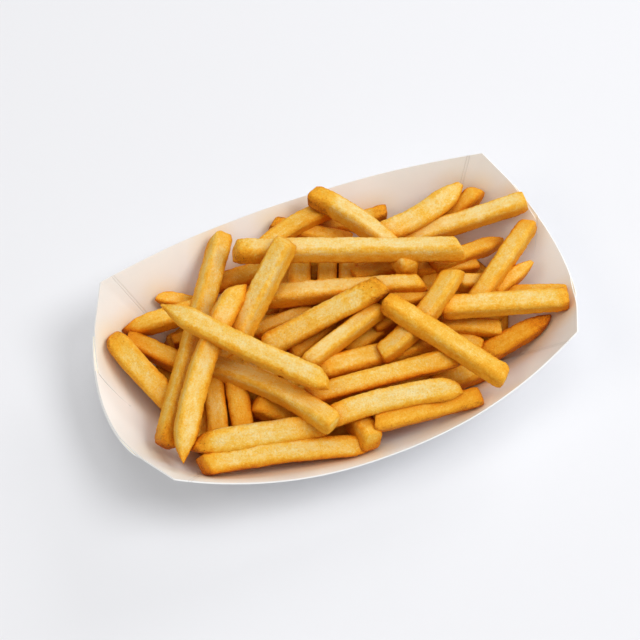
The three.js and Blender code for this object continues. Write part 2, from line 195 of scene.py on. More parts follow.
def side_wall(steps, levels):
    share = np.linspace(-1, 1, steps + 1)
    return between(side_foot(share), side_rim(share * CREASE_X), levels)


def corner_wall(steps, levels):
    """The wall that turns round a corner, on both sides of the rim's high point."""
    x = np.linspace(CREASE_X, CORNER[0], steps + 1)
    y = np.linspace(CORNER[1], PANEL_TOP[1], 2 * steps + 1)
    rim = np.concatenate([side_rim(x), end_rim(y[1:])])
    foot = np.tile([*FLOOR, BOARD], (len(rim), 1))
    return between(foot, rim, levels)


def flap_edge(v):
    return FLAP_TOP * np.clip((v - FLAP_TURN) / (1 - FLAP_TURN), 0, None)


def end_points(share, levels):
    """Points of an end wall, from shares of its width and of its height."""
    return mix(end_foot(share), end_rim(share * PANEL_TOP[1]), levels[..., None])


def flap_wall(steps, levels):
    across = np.linspace(0, 1, steps + 1)[:, None]
    return end_points(mix(1, flap_edge(levels), across), np.broadcast_to(levels, (steps + 1, levels.shape[-1])))


def quarter_turns(points):
    """A quarter of the wall and its three mirror images."""
    return [points * np.array([x, y, 1]) for x in (1, -1) for y in (1, -1)]


# ---------------------------------------------------------------- the fries' places


def fry(name, start, end, wide, wide_to=None, bow=0, roll=0, tips=("blunt", "blunt"),
        lean=(0, 0), brown=0.0, skins=(), stains=()):
    """A fry: where its tips are seen, how wide it looks at each, how far its middle is bent
    sideways, how many degrees it is rolled, the form of its tips, and how far one side of a
    tip is cut longer than the other, in widths. brown darkens it all, a skin is (which tip,
    how many widths it covers, how brown), and a stain is (place where it is seen, its size,
    how brown)."""
    start, end = np.array(start, float), np.array(end, float)
    return {
        "name": name, "start": start, "end": end, "length": float(np.hypot(*(end - start))),
        "wide": wide, "wide_to": wide_to or wide, "bow": bow, "roll": math.radians(roll),
        "tips": tips, "lean": lean, "brown": brown, "skins": skins, "stains": stains,
    }


# The deep fries are listed browner than those above: partly their own browning, partly painted shade for the gaps they
# lie in.
DEEP = [
    fry("deep_left_1", (199, 403), (204, 450), 18, brown=0.15),
    fry("deep_left_2", (213, 378), (219, 442), 21, brown=0.14),
    fry("deep_left_3", (236, 378), (244, 434), 23, brown=0.2),
    fry("deep_left_4", (254, 404), (302, 421), 26, brown=0.21),
    fry("deep_middle_1", (292, 356), (330, 324), 20, brown=0.07),
    fry("deep_middle_2", (345, 352), (393, 320), 24, brown=0.15),
    fry("deep_middle_3", (375, 328), (408, 306), 22, tips=("round", "blunt"), brown=0.12),
    fry("deep_right", (432, 389), (490, 367), 24, brown=0.19),
    fry("deep_back_1", (301, 252), (299, 298), 23, brown=0.2),
    fry("deep_back_2", (328, 252), (326, 298), 21, brown=0.18),
    fry("deep_back_3", (348, 252), (347, 296), 19, brown=0.17),
    fry("deep_back_4", (354, 277), (404, 262), 20, brown=0.18),
    fry("deep_back_5", (424, 256), (433, 304), 21, brown=0.18),
    fry("deep_back_6", (414, 270), (476, 264), 18, brown=0.11),
]
ALONG_WALLS = [
    fry("left_shelf_1", (157, 297), (210, 307), 17, tips=("slant", "blunt"), brown=0.14),
    fry("left_shelf_2", (130, 341), (192, 369), 24, brown=0.2),
    fry("left_shelf_3", (173, 341), (206, 331), 14, brown=0.22),
    fry("left_shelf_4", (126, 331), (202, 308), 23, tips=("point", "blunt"), brown=0.13, skins=[(0, 0.4, 0.5)]),
    fry("left_wall", (112, 335), (183, 411), 26, bow=-3, roll=-10, tips=("round", "blunt"), brown=0.06,
        skins=[(0, 0.8, 0.5)]),
    fry("left_gap", (216, 285), (268, 268), 22, brown=0.24),
    fry("front_wall", (203, 466), (373, 445), 23, bow=4, roll=-20, tips=("blunt", "point"), brown=0.08,
        skins=[(0, 0.35, 0.5)]),
    fry("front_stub", (346, 403), (373, 442), 28, roll=20, brown=0.12),
    fry("front_right", (375, 423), (481, 396), 21, roll=-10, brown=0.24),
    fry("front_left", (193, 446), (325, 425), 25, roll=-25, tips=("point", "blunt"), brown=0.02,
        skins=[(0, 0.75, 0.8)]),
    fry("front_middle", (331, 417), (461, 388), 24, bow=5, roll=-20, tips=("blunt", "slant"), brown=0.03),
    fry("right_brown", (550, 318), (487, 353), 22, wide_to=25, tips=("point", "blunt"), brown=0.3,
        skins=[(0, 1.2, 0.7), (1, 0.4, 0.4)]),
    fry("right_stub", (482, 346), (452, 333), 15, brown=0.1),
    fry("right_inner", (438, 324), (500, 329), 20, brown=0.08),
    fry("right_shelf", (498, 292), (566, 291), 15, brown=0.2),
    fry("back_stub", (386, 212), (320, 231), 18, brown=0.14, skins=[(0, 0.9, 0.9)]),
    fry("back_brown", (272, 224), (350, 241), 19, brown=0.14, skins=[(0, 0.5, 0.9)]),
    fry("back_tip_2", (480, 190), (438, 225), 22, tips=("round", "blunt"), brown=0.1),
    fry("back_right", (525, 201), (400, 242), 23),
    fry("back_tip_1", (459, 185), (380, 235), 26, bow=6, roll=15, tips=("point", "blunt"), brown=0.03,
        stains=[(425, 213, 9, 0.12)]),
    fry("right_back_low", (503, 241), (432, 265), 20, tips=("point", "blunt"), brown=0.16),
]
MIDDLE = [
    fry("middle_pale", (253, 333), (314, 310), 19, tips=("round", "blunt"), brown=0.04),
    fry("middle_low", (319, 371), (444, 339), 26, brown=0.1),
    fry("middle_long", (308, 397), (458, 356), 22, roll=-12, brown=0.1),
    fry("middle_short", (374, 303), (440, 294), 18, brown=0.08),
    fry("fork_right", (532, 262), (494, 293), 17, tips=("point", "blunt"), brown=0.1),
    fry("fork_foot", (458, 283), (488, 283), 20, brown=0.0),
    fry("fork_left", (529, 224), (473, 307), 23, roll=-15, brown=0.12),
    fry("upper_level", (258, 297), (423, 283), 27, wide_to=20, roll=5, skins=[(1, 1.3, 0.3)]),
    fry("back_sloped", (336, 207), (262, 250), 22, bow=-5, brown=0.12, skins=[(0, 0.5, 0.3)]),
    fry("back_long", (313, 196), (411, 271), 25, bow=8, roll=15, lean=(0, 0.2), skins=[(0, 1.25, 1.0)]),
    fry("upper_rising_2", (308, 364), (381, 307), 21, roll=10, brown=0.02),
    fry("right_level", (444, 308), (568, 299), 25, roll=5, lean=(0, -0.3), brown=0.06,
        skins=[(1, 0.5, 0.6)]),
    fry("upper_falling", (454, 271), (381, 355), 24, bow=7, roll=-20, brown=0.06),
    fry("left_low", (194, 363), (334, 425), 25, bow=9, roll=10),
]
TOP = [
    fry("top_left_long", (221, 238), (165, 445), 25, roll=35, brown=0.08, skins=[(1, 0.9, 0.5)]),
    fry("top_back", (235, 251), (461, 249), 25.5, roll=12, skins=[(0, 0.7, 0.6)]),
    fry("upper_rising_1", (383, 285), (266, 347), 25, roll=20, brown=0.05, skins=[(0, 0.9, 0.9)],
        stains=[(346, 301, 6, 0.12), (312, 322, 8, 0.12)]),
    fry("top_steep", (287, 241), (238, 338), 26, roll=-20),
    fry("top_left_point", (238, 288), (182, 461), 25, bow=-10, roll=25, tips=("round", "sharp"), lean=(0.2, 0), brown=0.06,
        skins=[(1, 0.3, 0.3)]),
    fry("top_right", (386, 302), (505, 378), 24.5, roll=15, brown=0.14, skins=[(0, 0.7, 0.5)],
        stains=[(486, 369, 9, 0.1)]),
    fry("top_crossing", (163, 305), (327, 382), 23.5, bow=-3, roll=-5, tips=("sharp", "round"),
        skins=[(0, 0.5, 0.3)]),
]
LAYERS = {"fries_deep": DEEP, "fries_along_walls": ALONG_WALLS, "fries_middle": MIDDLE, "fries_top": TOP}

# A tip: its size as a share of the full one, the length of its taper in widths, and how
# suddenly it ends.
TIPS = {
    "blunt": (0.84, 0.3, 2.2),
    "round": (0.5, 0.6, 2.4),
    "slant": (0.45, 0.9, 2),
    "point": (0.3, 1.2, 2),
    "sharp": (0.15, 1.3, 1.6),
}


def tip_scale(tip, widths):
    least, length, power = TIPS[tip]
    return 1 - (1 - least) * np.clip(1 - widths / length, 0, None) ** power


def line_at(item, s):
    """The place on a fry's line, a share s of the way along."""
    along = (item["end"] - item["start"]) / item["length"]
    side = (item["bow"] * 4 * s * (1 - s))[..., None]
    return item["start"] + along * item["length"] * s[..., None] + side * np.array([along[1], -along[0]])


def width_at(item, s):
    full = mix(item["wide"], item["wide_to"], s)
    first = tip_scale(item["tips"][0], s * item["length"] / full)
    last = tip_scale(item["tips"][1], (1 - s) * item["length"] / full)
    return full * np.minimum(first, last)


# ---------------------------------------------------------------- settling the heap

CELL = 3                       # steps of the window in one cell of the bed
PRESS = 0.28                   # half-depth of a fry as it lies, as a share of its width
ALONG = 36                     # samples along a fry
STEEPEST = 0.3                 # most that a fry climbs, as a share of its length
TILTS = 24                     # tilts tried each way
LEVELLING = 0.2                # how far a fry would lie higher to climb a millimetre less
ACROSS = np.array([-0.8, -0.5, -0.2, 0.2, 0.5, 0.8])


class Bed:
    """For each sight line, the height of what it meets first."""

    def __init__(self):
        self.size = math.ceil(WINDOW / CELL)
        self.heights = np.zeros(self.size ** 2)

    def cells(self, places):
        across, down = np.moveaxis(np.floor(places / CELL).astype(int), -1, 0)
        return down * self.size + across

    def lift(self, places, z):
        np.maximum.at(self.heights, self.cells(places).ravel(), np.broadcast_to(z, places.shape[:-1]).ravel())

    def height(self, places):
        return self.heights[self.cells(places)]


def core_points(turn, rise):
    return np.stack([
        CORE["shift"] + CORE["x"] * np.cos(turn) * np.cos(rise),
        CORE["y"] * np.sin(turn) * np.cos(rise),
        CORE["level"] + CORE["z"] * np.sin(rise) + 0 * turn,
    ], -1)


def empty_bed():
    bed = Bed()
    levels = np.linspace(0, 1, 91)
    parts = [side_wall(192, levels), corner_wall(16, levels), flap_wall(48, levels)]
    edge = flap_edge(levels)
    parts.append(end_points(mix(-1, 1, np.linspace(0, 1, 33))[:, None] * edge, np.tile(levels, (33, 1))))
    for part in parts:
        for turned in quarter_turns(part):
            bed.lift(seen_at(turned), turned[..., 2] + CLEAR)
    turn = np.linspace(0, 2 * math.pi, 720, endpoint=False)[:, None]
    dome = core_points(turn, np.linspace(0, math.pi / 2, 91)[None])
    bed.lift(seen_at(dome), dome[..., 2])
    return bed


def settle(item, bed):
    """Lowers a fry along the sight lines until it rests, and gives the heights of its tips."""
    run = (item["end"] - item["start"]) / item["length"]
    s = np.linspace(0, 1, ALONG + 1)
    width = width_at(item, s)[:, None]
    places = line_at(item, s)[:, None] + np.array([run[1], -run[0]]) * (ACROSS * width / 2)[..., None]
    rise = PRESS * width * STEP * BACK[2] * np.sqrt(1 - ACROSS ** 2)
    needs = (bed.height(places) + rise).max(1)
    climbs = np.arange(-TILTS, TILTS + 1) / TILTS * STEEPEST * item["length"] * STEP
    middles = (needs - climbs[:, None] * (s - 0.5)).max(1)
    best = np.argmin(middles + LEVELLING * np.abs(climbs))
    tips = middles[best] + climbs[best] * np.array([-0.5, 0.5])
    bed.lift(places, mix(*tips, s)[:, None] + rise)
    return tips


# ---------------------------------------------------------------- a fry's skin

RING_GAP = 0.5                 # between rings along a fry
AROUND = 48                    # points in a ring
CORNER_ROUND = 0.25            # radius of a fry's rounded edges, as a share of its width
CAP = (0.95, 0.82, 0.6, 0.35)  # rings that close a cut end, as shares of the end's size
CAP_BULGE = 0.08               # how far a cut end stands out, as a share of its width
END_EDGE = 0.8                 # how near to an edge a cut end counts as, for its browning
NUDGE = 0.02                   # share of its length over which a fry's direction is taken
TWIST = 12                     # degrees that a fry may turn from tip to tip
ASPECT = 0.08                  # how far a section may be from square
SUNKEN = 0.03                  # how far the middle of a face may sink or swell, in widths
CUT = 0.28                     # how far out of square a tip may be cut
FAR = 500                      # how far apart the fries' places in the noise may be


def section():
    """Places round a square of width 1 with rounded edges, and how near each is to an edge."""
    flat = 0.5 - CORNER_ROUND
    bend = math.pi * CORNER_ROUND / 2
    side = AROUND // 4
    places, nearness = [], []
    for k in range(AROUND):
        quarter, step = divmod(k, side)
        turn = math.radians(90 * quarter)
        walk = step / side * (2 * flat + bend)
        if walk < 2 * flat:
            x, y = 0.5, walk - flat
            near = abs(y) / flat * 0.7
        else:
            angle = (walk - 2 * flat) / CORNER_ROUND
            x, y = flat + CORNER_ROUND * math.cos(angle), flat + CORNER_ROUND * math.sin(angle)
            near = 0.7 + 0.3 * math.sin(2 * angle)
        places.append((x * math.cos(turn) - y * math.sin(turn), x * math.sin(turn) + y * math.cos(turn)))
        nearness.append(near)
    return np.array(places), np.array(nearness)


SECTION, EDGE = section()


def smooth_step(low, high, values):
    t = np.clip((values - low) / (high - low), 0, 1)
    return t * t * (3 - 2 * t)


def window_axis(item, tips):
    """A fry's middle line, laid out by where it is seen."""
    return lambda s: point_seen(line_at(item, s), mix(*tips, s))


def fry_skin(item, axis, draws, gap=RING_GAP, around=1):
    """The points, faces and point numbers of one fry, ring by ring."""
    places, edge = SECTION[::around], EDGE[::around]
    long = float(np.linalg.norm(axis(np.array([1.0])) - axis(np.array([0.0]))))
    s = np.linspace(0, 1, max(12, round(long / gap)) + 1)
    middle = axis(s)
    along = unit(axis(s + NUDGE) - axis(s - NUDGE))
    side = unit(np.cross(along, [0, 0, 1.0]))
    top = np.cross(side, along)
    twist = math.radians(TWIST) * draws.uniform(-1, 1) * (s - 0.5)
    roll = (item["roll"] + twist)[:, None]
    sideways = side * np.cos(roll) + top * np.sin(roll)
    upright = top * np.cos(roll) - side * np.sin(roll)
    looked = unit(np.cross(along, BACK))
    aspect = 1 + ASPECT * draws.uniform(-1, 1)
    sink = np.repeat(draws.uniform(-0.4, 1, 4), len(places) // 4) * SUNKEN * (1 - edge) ** 0.7
    form = places * np.array([aspect, 1 / aspect]) * (1 - 2 * sink[:, None])
    spread = form[:, 0] * (sideways * looked).sum(-1)[:, None] + form[:, 1] * (upright * looked).sum(-1)[:, None]
    width = width_at(item, s) * STEP / (2 * spread.max(1))
    full = width.max()

    # rings from the middle of one cut end to the middle of the other
    caps = np.array(CAP)
    size = np.concatenate([caps[::-1], np.ones(len(s)), caps])
    ring = np.concatenate([np.zeros(len(caps), int), np.arange(len(s)), np.full(len(caps), len(s) - 1)])
    out = (1 - size ** 2) * CAP_BULGE * width[ring] * np.where(ring == 0, -1, 1)
    offset = sideways[ring][:, None] * form[:, :1] + upright[ring][:, None] * form[:, 1:]
    offset = offset * (width[ring] * size)[:, None, None]
    points = (middle[ring] + along[ring] * out[:, None])[:, None] + offset
    for tip, at in ((0, s[ring]), (1, 1 - s[ring])):
        cut = form @ draws.uniform(-CUT, CUT, 2) + item["lean"][tip] * spread[ring]
        cut *= full * (np.exp(-at * long / full * 2) * size)[:, None]
        points += along[ring][:, None] * cut[..., None]
    normals = unit(offset + along[ring][:, None] * (out * 8)[:, None, None])

    # each point's place in the fry's own space, where the noise is read
    shift = draws.uniform(0, FAR, 3)
    own = np.empty(points.shape)
    own[..., 0] = (s[ring] * long + out)[:, None]
    own[..., 1:] = form * (width[ring] * size)[:, None, None]
    own += shift
    rough = mix(0.6, 1.6, smooth_step(0.5, 1, edge))
    lumps = NOISE(own, 16.0) * 0.35 + NOISE(own, 6.0) * 0.22 + (NOISE(own, 2.4) * 0.11 + NOISE(own, 1.3) * 0.14) * rough
    lumps *= full / 9
    points = pressed(points + normals * lumps[..., None])

    from_tips = np.stack([s[ring] * long, (1 - s[ring]) * long]) / full
    near_edge = np.where(size[:, None] < 1, END_EDGE, edge)
    numbers = colouring(item, points, normals, own, near_edge, from_tips, size, draws)
    numbers["own"] = own
    count = len(size)
    flat = {key: values.reshape(count * len(places), *values.shape[2:]) for key, values in numbers.items()}
    return points.reshape(-1, 3), tube_faces(count, len(places)), flat


BASE_TONE = 0.18               # how brown an even, pale fry is
FACE_TONE = 0.04               # how much the four faces of a fry may differ
EDGE_TONE = 0.22               # how much browner its edges are
UNDERSIDE_SHADE_TONE = 0.34              # painted shade: how much browner its sides and underside are, by how far they face away from up
TIP_TONE = 0.22                # and its tips
MOST_TONE = 0.75               # the brownest that a fry is without skin


def colouring(item, points, normals, own, near_edge, from_tips, size, draws):
    """How brown each point of a fry is, with painted shade on its sides and underside, and how far its skin shows."""
    count = points.shape[1]
    faces = draws.uniform(-1, 1, 4)
    turn = np.arange(count) / count * 4
    face = np.interp(turn, np.arange(5) + 0.4, [*faces, faces[0]], period=4)
    blotch = NOISE(own * np.array([0.6, 1, 1]), 9.0) * 0.08 + NOISE(own, 3.5) * 0.03
    nearest = from_tips.min(0)[:, None]
    tone = BASE_TONE + item["brown"] + face * FACE_TONE + blotch
    uneven = np.clip(0.75 + 0.8 * NOISE(own * np.array([0.5, 1, 1]), 5.0) + 0.4 * NOISE(own, 1.6), 0, 1.4)
    tone += EDGE_TONE * smooth_step(0.76, 0.98, near_edge + 0.1 * NOISE(own, 2.0)) * uneven
    # painted shade: sides and undersides browner by how far they face away from up
    tone += UNDERSIDE_SHADE_TONE * (1 - smooth_step(0.1, 0.92, normals[..., 2]))
    tone += TIP_TONE * np.exp(-nearest * 2.5) * np.where(size[:, None] < 0.9, 0.4, 1)
    skin = np.zeros(tone.shape)
    for which, widths, strength in item["skins"]:
        reach = from_tips[which][:, None] + NOISE(own, 5.0) * 0.35 + NOISE(own, 2.0) * 0.15
        skin = np.maximum(skin, strength * (1 - smooth_step(widths - 0.4, widths + 0.2, reach)))
    for x, y, radius, strength in item["stains"]:
        away = np.linalg.norm(seen_at(points) - (x, y), axis=-1) / radius + NOISE(own, 4.0) * 0.3
        tone += strength * (1 - smooth_step(0.3, 1.1, away))
    tone = MOST_TONE * np.tanh(tone / MOST_TONE)
    return {"tone": tone + skin * 0.24, "skin": skin}


def tube_faces(rings, around):
    """Quads between rings, and one face at each end."""
    k = np.arange(around)
    after = (k + 1) % around
    base = (np.arange(rings - 1) * around)[:, None]
    quads = np.stack([base + k, base + around + k, base + around + after, base + after], -1).reshape(-1, 4)
    last = (rings - 1) * around
    return [*quads.tolist(), k.tolist(), (last + k[::-1]).tolist()]


def make_fries(name, skins, material):
    """One piece of several fries' skins."""
    points, faces, numbers, count = [], [], [], 0
    for skin, quads, values in skins:
        points.append(skin)
        faces.extend([[i + count for i in face] for face in quads])
        numbers.append(values)
        count += len(skin)
    joined = {key: np.concatenate([n[key] for n in numbers]) for key in numbers[0]}
    piece = make_object(name, np.concatenate(points), faces, joined)
    piece.data.materials.append(material)
    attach(piece, "root")
    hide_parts("fries")
    return piece


# ---------------------------------------------------------------- what the heap lies on

UNDER = 4.5                    # how far the core lies below the hidden fries' level
HIDDEN = 60                    # hidden fries
TRIES = 4000                   # places tried for them


def wall_ring():
    """The feet and rims of the wall's columns, all the way round."""
    share = np.linspace(0, 1, 25)
    feet = [side_foot(share)]
    rims = [side_rim(share * CREASE_X)]
    x = np.linspace(CREASE_X, CORNER[0], 4)[1:]
    y = np.linspace(CORNER[1], PANEL_TOP[1], 7)[1:]
    rims.append(np.concatenate([side_rim(x), end_rim(y)]))
    feet.append(np.tile([*FLOOR, BOARD], (len(x) + len(y), 1)))
    down = np.linspace(1, 0, 13)[1:]
    feet.append(end_foot(down))
    rims.append(end_rim(down * PANEL_TOP[1]))
    quarter = np.stack([np.concatenate(feet), np.concatenate(rims)], 1)
    ring = []
    for signs, backwards in (((1, 1), False), ((1, -1), True), ((-1, -1), False), ((-1, 1), True)):
        turned = quarter * np.array([*signs, 1])
        ring.append((turned[::-1] if backwards else turned)[:-1])
    return np.concatenate(ring)


RING = wall_ring()


def wall_radius(turn, z):
    """How far out the wall is, in a direction and at a height."""
    feet, rims = RING[:, 0], RING[:, 1]
    part = (z[..., None] - BOARD) / (rims[:, 2] - BOARD)
    at = feet + (rims - feet) * part[..., None]
    angles = np.arctan2(at[..., 1], at[..., 0])
    radii = np.hypot(at[..., 0], at[..., 1])
    order = np.argsort(angles, -1)
    angles = np.take_along_axis(angles, order, -1)
    radii = np.take_along_axis(radii, order, -1)
    return np.array([np.interp(t, a, r, period=2 * math.pi) for t, a, r in zip(turn, angles, radii)])


PRESSED = 2.0                  # how far a fry's skin may lie beyond the wall before it is pressed flat
TURNS = np.linspace(-math.pi, math.pi, 721)
HEIGHTS = np.linspace(BOARD, 50, 51)


def wall_table():
    """How far out the wall is at each of the heights and turns, and how high its rim is."""
    feet, rims = RING[:, 0], RING[:, 1]
    rows = []
    for z in HEIGHTS:
        at = feet + (rims - feet) * ((z - BOARD) / (rims[:, 2:] - BOARD))
        rows.append(np.interp(TURNS, np.arctan2(at[:, 1], at[:, 0]), np.hypot(at[:, 0], at[:, 1]), period=2 * math.pi))
    return np.array(rows), np.interp(TURNS, np.arctan2(rims[:, 1], rims[:, 0]), rims[:, 2], period=2 * math.pi)


WALL_OUT, RIM_HEIGHT = wall_table()


def pressed(points):
    """The points, with those that would pass through the wall pressed flat against it."""
    turn = np.arctan2(points[..., 1], points[..., 0])
    out = np.hypot(points[..., 0], points[..., 1])
    column = (turn + math.pi) / (TURNS[1] - TURNS[0])
    row = np.clip((points[..., 2] - BOARD) / (HEIGHTS[1] - HEIGHTS[0]), 0, len(HEIGHTS) - 1.001)
    i = np.clip(column.astype(int), 0, len(TURNS) - 2)
    j = row.astype(int)
    low = mix(WALL_OUT[j, i], WALL_OUT[j, i + 1], column - i)
    high = mix(WALL_OUT[j + 1, i], WALL_OUT[j + 1, i + 1], column - i)
    room = mix(low, high, row - j) - CLEAR
    held = (out > room) & (out < room + PRESSED) & (points[..., 2] < RIM_HEIGHT[i])
    share = np.where(held, room / np.maximum(out, 1), 1)
    return points * np.stack([share, share, np.ones_like(share)], -1)


def dome_height(x, y):
    """The height of the core of the CAD model."""
    inside = 1 - ((x - CORE["shift"]) / CORE["x"]) ** 2 - (y / CORE["y"]) ** 2
    return CORE["level"] + CORE["z"] * np.sqrt(np.clip(inside, 0, None))


def hidden_fries(draws):
    """Fries under the ones that show: tips on the dome, all of them clear of the wall."""
    placed = []
    s = np.array([0.0, 0.25, 0.5, 0.75, 1.0])
    for _ in range(TRIES):
        if len(placed) == HIDDEN:
            break
        middle = draws.uniform((-85, -44), (79, 44))
        turn = draws.normal(0, 0.5)
        long = draws.uniform(56, 76)
        wide = draws.uniform(7.6, 9.4)
        ways = long / 2 * np.array([math.cos(turn), math.sin(turn)])
        flat = middle + (s[:, None] * 2 - 1) * ways
        heights = dome_height(*flat.T)
        tips = heights[[0, -1]] - wide * draws.uniform(0.4, 0.7)
        line = np.column_stack([flat, mix(*tips, s)])
        room = wall_radius(np.arctan2(line[:, 1], line[:, 0]), line[:, 2])
        if (room - np.hypot(line[:, 0], line[:, 1])).min() < 0.62 * wide + CLEAR:
            continue
        if any(np.linalg.norm(line[:, None] - other, axis=-1).min() < 0.45 * wide for other in placed):
            continue
        placed.append(line)
    return placed


def hidden_skins(draws):
    skins = []
    for line in hidden_fries(draws):
        ends = line[[0, -1]]
        places = seen_at(ends)
        item = fry("hidden", *places, draws.uniform(19, 23), roll=draws.uniform(-30, 30), brown=draws.uniform(0.02, 0.16))
        skins.append(fry_skin(item, lambda s, ends=ends: mix(ends[0], ends[1], s[:, None]), draws, gap=1.3, around=2))
    return skins


def make_core(material):
    """A closed lump under the fries, which follows the wall and the floor below them."""
    feet, rims = RING[:, 0], RING[:, 1]
    levels = np.linspace(0, 1, 201)
    wall = mix(feet[:, None], rims[:, None], levels[:, None])
    above = wall[..., 2] > dome_height(wall[..., 0], wall[..., 1]) - UNDER
    meet = np.argmax(above, 1)
    edge = wall[np.arange(len(wall)), meet]
    inward = 1 - 2 * CLEAR / np.hypot(edge[:, 0], edge[:, 1])[:, None]
    edge[:, :2] *= inward
    centre = np.array([CORE["shift"], 0])
    out = np.linspace(0.02, 1, 40)
    top = np.empty((len(edge), len(out), 3))
    top[..., :2] = mix(centre, edge[:, None, :2], out[:, None])
    top[..., 2] = dome_height(top[..., 0], top[..., 1]) - UNDER
    ridges = NOISE(top * np.array([0.35, 1, 1]), 8.0) * 1.6 + NOISE(top, 3.0) * 0.5
    top[..., 2] += ridges * (1 - out ** 6)
    foot = feet * np.array([0.97, 0.97, 1]) + np.array([0, 0, CLEAR])
    bottom = foot[:, None] * np.linspace(1, 0.02, 6)[:, None] * np.array([1, 1, 0]) + foot[:, None] * np.array([0, 0, 1])
    profile = np.concatenate([top, bottom], 1)
    columns, rows = profile.shape[:2]
    points = profile.transpose(1, 0, 2).reshape(-1, 3)
    k = np.arange(columns)
    numbers = {"tone": 0.42 + NOISE(points, 6.0) * 0.1, "skin": np.zeros(len(points)), "own": points}
    piece = make_object("heap_core", points, tube_faces(rows, columns), numbers)
    piece.data.materials.append(material)
    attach(piece, "root")
    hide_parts("fries")


# ---------------------------------------------------------------- the tray

FLAP_DIP = 0.035               # how far a flap's top corner drops below the rim, of its height
SEAM = 0.025                   # gap between the flaps' free edges at the rim, of their reach
PANEL_FOOT = 0.01              # where an outer end panel starts, of its height
PANEL_REACH = {1: (-1, 0.98), -1: (-1, 0.9)}  # how far each end's panel reaches to its sides
PANEL_DROOP = 0.05             # how far its front corner drops below the rim, of its height
SOFT_FOLD = 5                  # columns either side of the soft bend where a flap starts
GLUE = 0.03                    # gap between a flap and the panel that it is glued to
WARP = 0.2                     # how far the board strays from its true form
HALF_FRY = 4.5                 # from a fry's middle line to its skin
FRY_SHADE_REACH = 4.0                # how far from a fry the board's painted warm shade reaches


def near_crease(steps):
    """Shares from 0 to 1 with the first ones close together."""
    return np.linspace(0, 1, steps + 1) ** 1.4


def warped(points):
    lift = np.clip((points[..., 2] - BOARD) / 30, 0, 1)
    outward = unit(points * np.array([0.4, 1, 0]) + np.array([0, 0, 1e-9]))
    return points + outward * (NOISE(points, 28.0) * WARP * lift)[..., None]


def grid_faces(columns, rows, start):
    k = (np.arange(columns - 1) * rows)[:, None] + np.arange(rows - 1) + start
    return np.stack([k, k + rows, k + rows + 1, k + 1], -1).reshape(-1, 4)


def fold_distance(points):
    """How far points of the wall are from the nearest crease."""
    nearest = points[..., 2] - BOARD
    corner = np.array([*FLOOR, BOARD])
    at = np.abs(points) * np.array([1, 1, 0]) + points * np.array([0, 0, 1])
    way = side_rim(np.array(CREASE_X)) - corner
    share = np.clip(((at - corner) @ way) / (way @ way), 0, 1)
    return np.minimum(nearest, np.linalg.norm(at - corner - share[..., None] * way, axis=-1))


def tray_quarter(front):
    """The side wall, corner and flap of one quarter, as grids of columns by levels. A front
    flap reaches to the free edge of the back one, and only droops near its corner."""
    levels = np.linspace(0, 1, 25)
    share = 1 - near_crease(56)[::-1]
    side = between(side_foot(share), side_rim(share * CREASE_X), levels)
    x = mix(CREASE_X, CORNER[0], near_crease(6))
    y = np.linspace(CORNER[1], PANEL_TOP[1], 13)
    rim = np.concatenate([side_rim(x), end_rim(y[1:])])
    corner = between(np.tile([*FLOOR, BOARD], (len(rim), 1)), rim, levels)
    across = np.linspace(0, 1, 25)[:, None]
    droop = FLAP_DIP * (np.sin(math.pi * np.clip(across * 3, 0, 1)) * 0.4 if front else across)
    v = levels * (1 - droop)
    reach = flap_edge(v) * (SEAM - 1 if front else 1)
    flap = end_points(mix(1, reach, across), v)
    turned = np.concatenate([corner, flap[1:]])
    bend = len(corner) - 1
    for reach in range(SOFT_FOLD, 0, -1):
        near = slice(bend - reach, bend + reach + 1)
        turned[near] = (turned[bend - reach - 1:bend + reach] + turned[near] * 2 + turned[bend - reach + 1:bend + reach + 2]) / 4
    return side, turned


def floor_grid():
    across = np.unique(np.concatenate([1 - near_crease(56)[::-1], near_crease(56)[::-1] - 1]).round(9))
    shares = mix(1, flap_edge(0.0), np.linspace(0, 1, 25))
    along = np.unique(np.concatenate([shares, -shares]).round(9))
    u, v = np.meshgrid(across, along, indexing="ij")
    x = u * (FLOOR[0] + FLOOR_BOW[0] * (1 - v ** 2))
    y = v * (FLOOR[1] + FLOOR_BOW[1] * (1 - u ** 2))
    return np.stack([x, y, np.full_like(x, BOARD)], -1)


def nearest_finder(points):
    finder = KDTree(len(points))
    for i, point in enumerate(points):
        finder.insert(point, i)
    finder.balance()
    return finder


def fry_shade_amount(points, heap):
    """How much painted warm shade the board has from the fries beside it."""
    away = np.array([heap.find(point)[2] for point in points])
    return np.exp(-np.clip(away - HALF_FRY, 0, None) / FRY_SHADE_REACH)


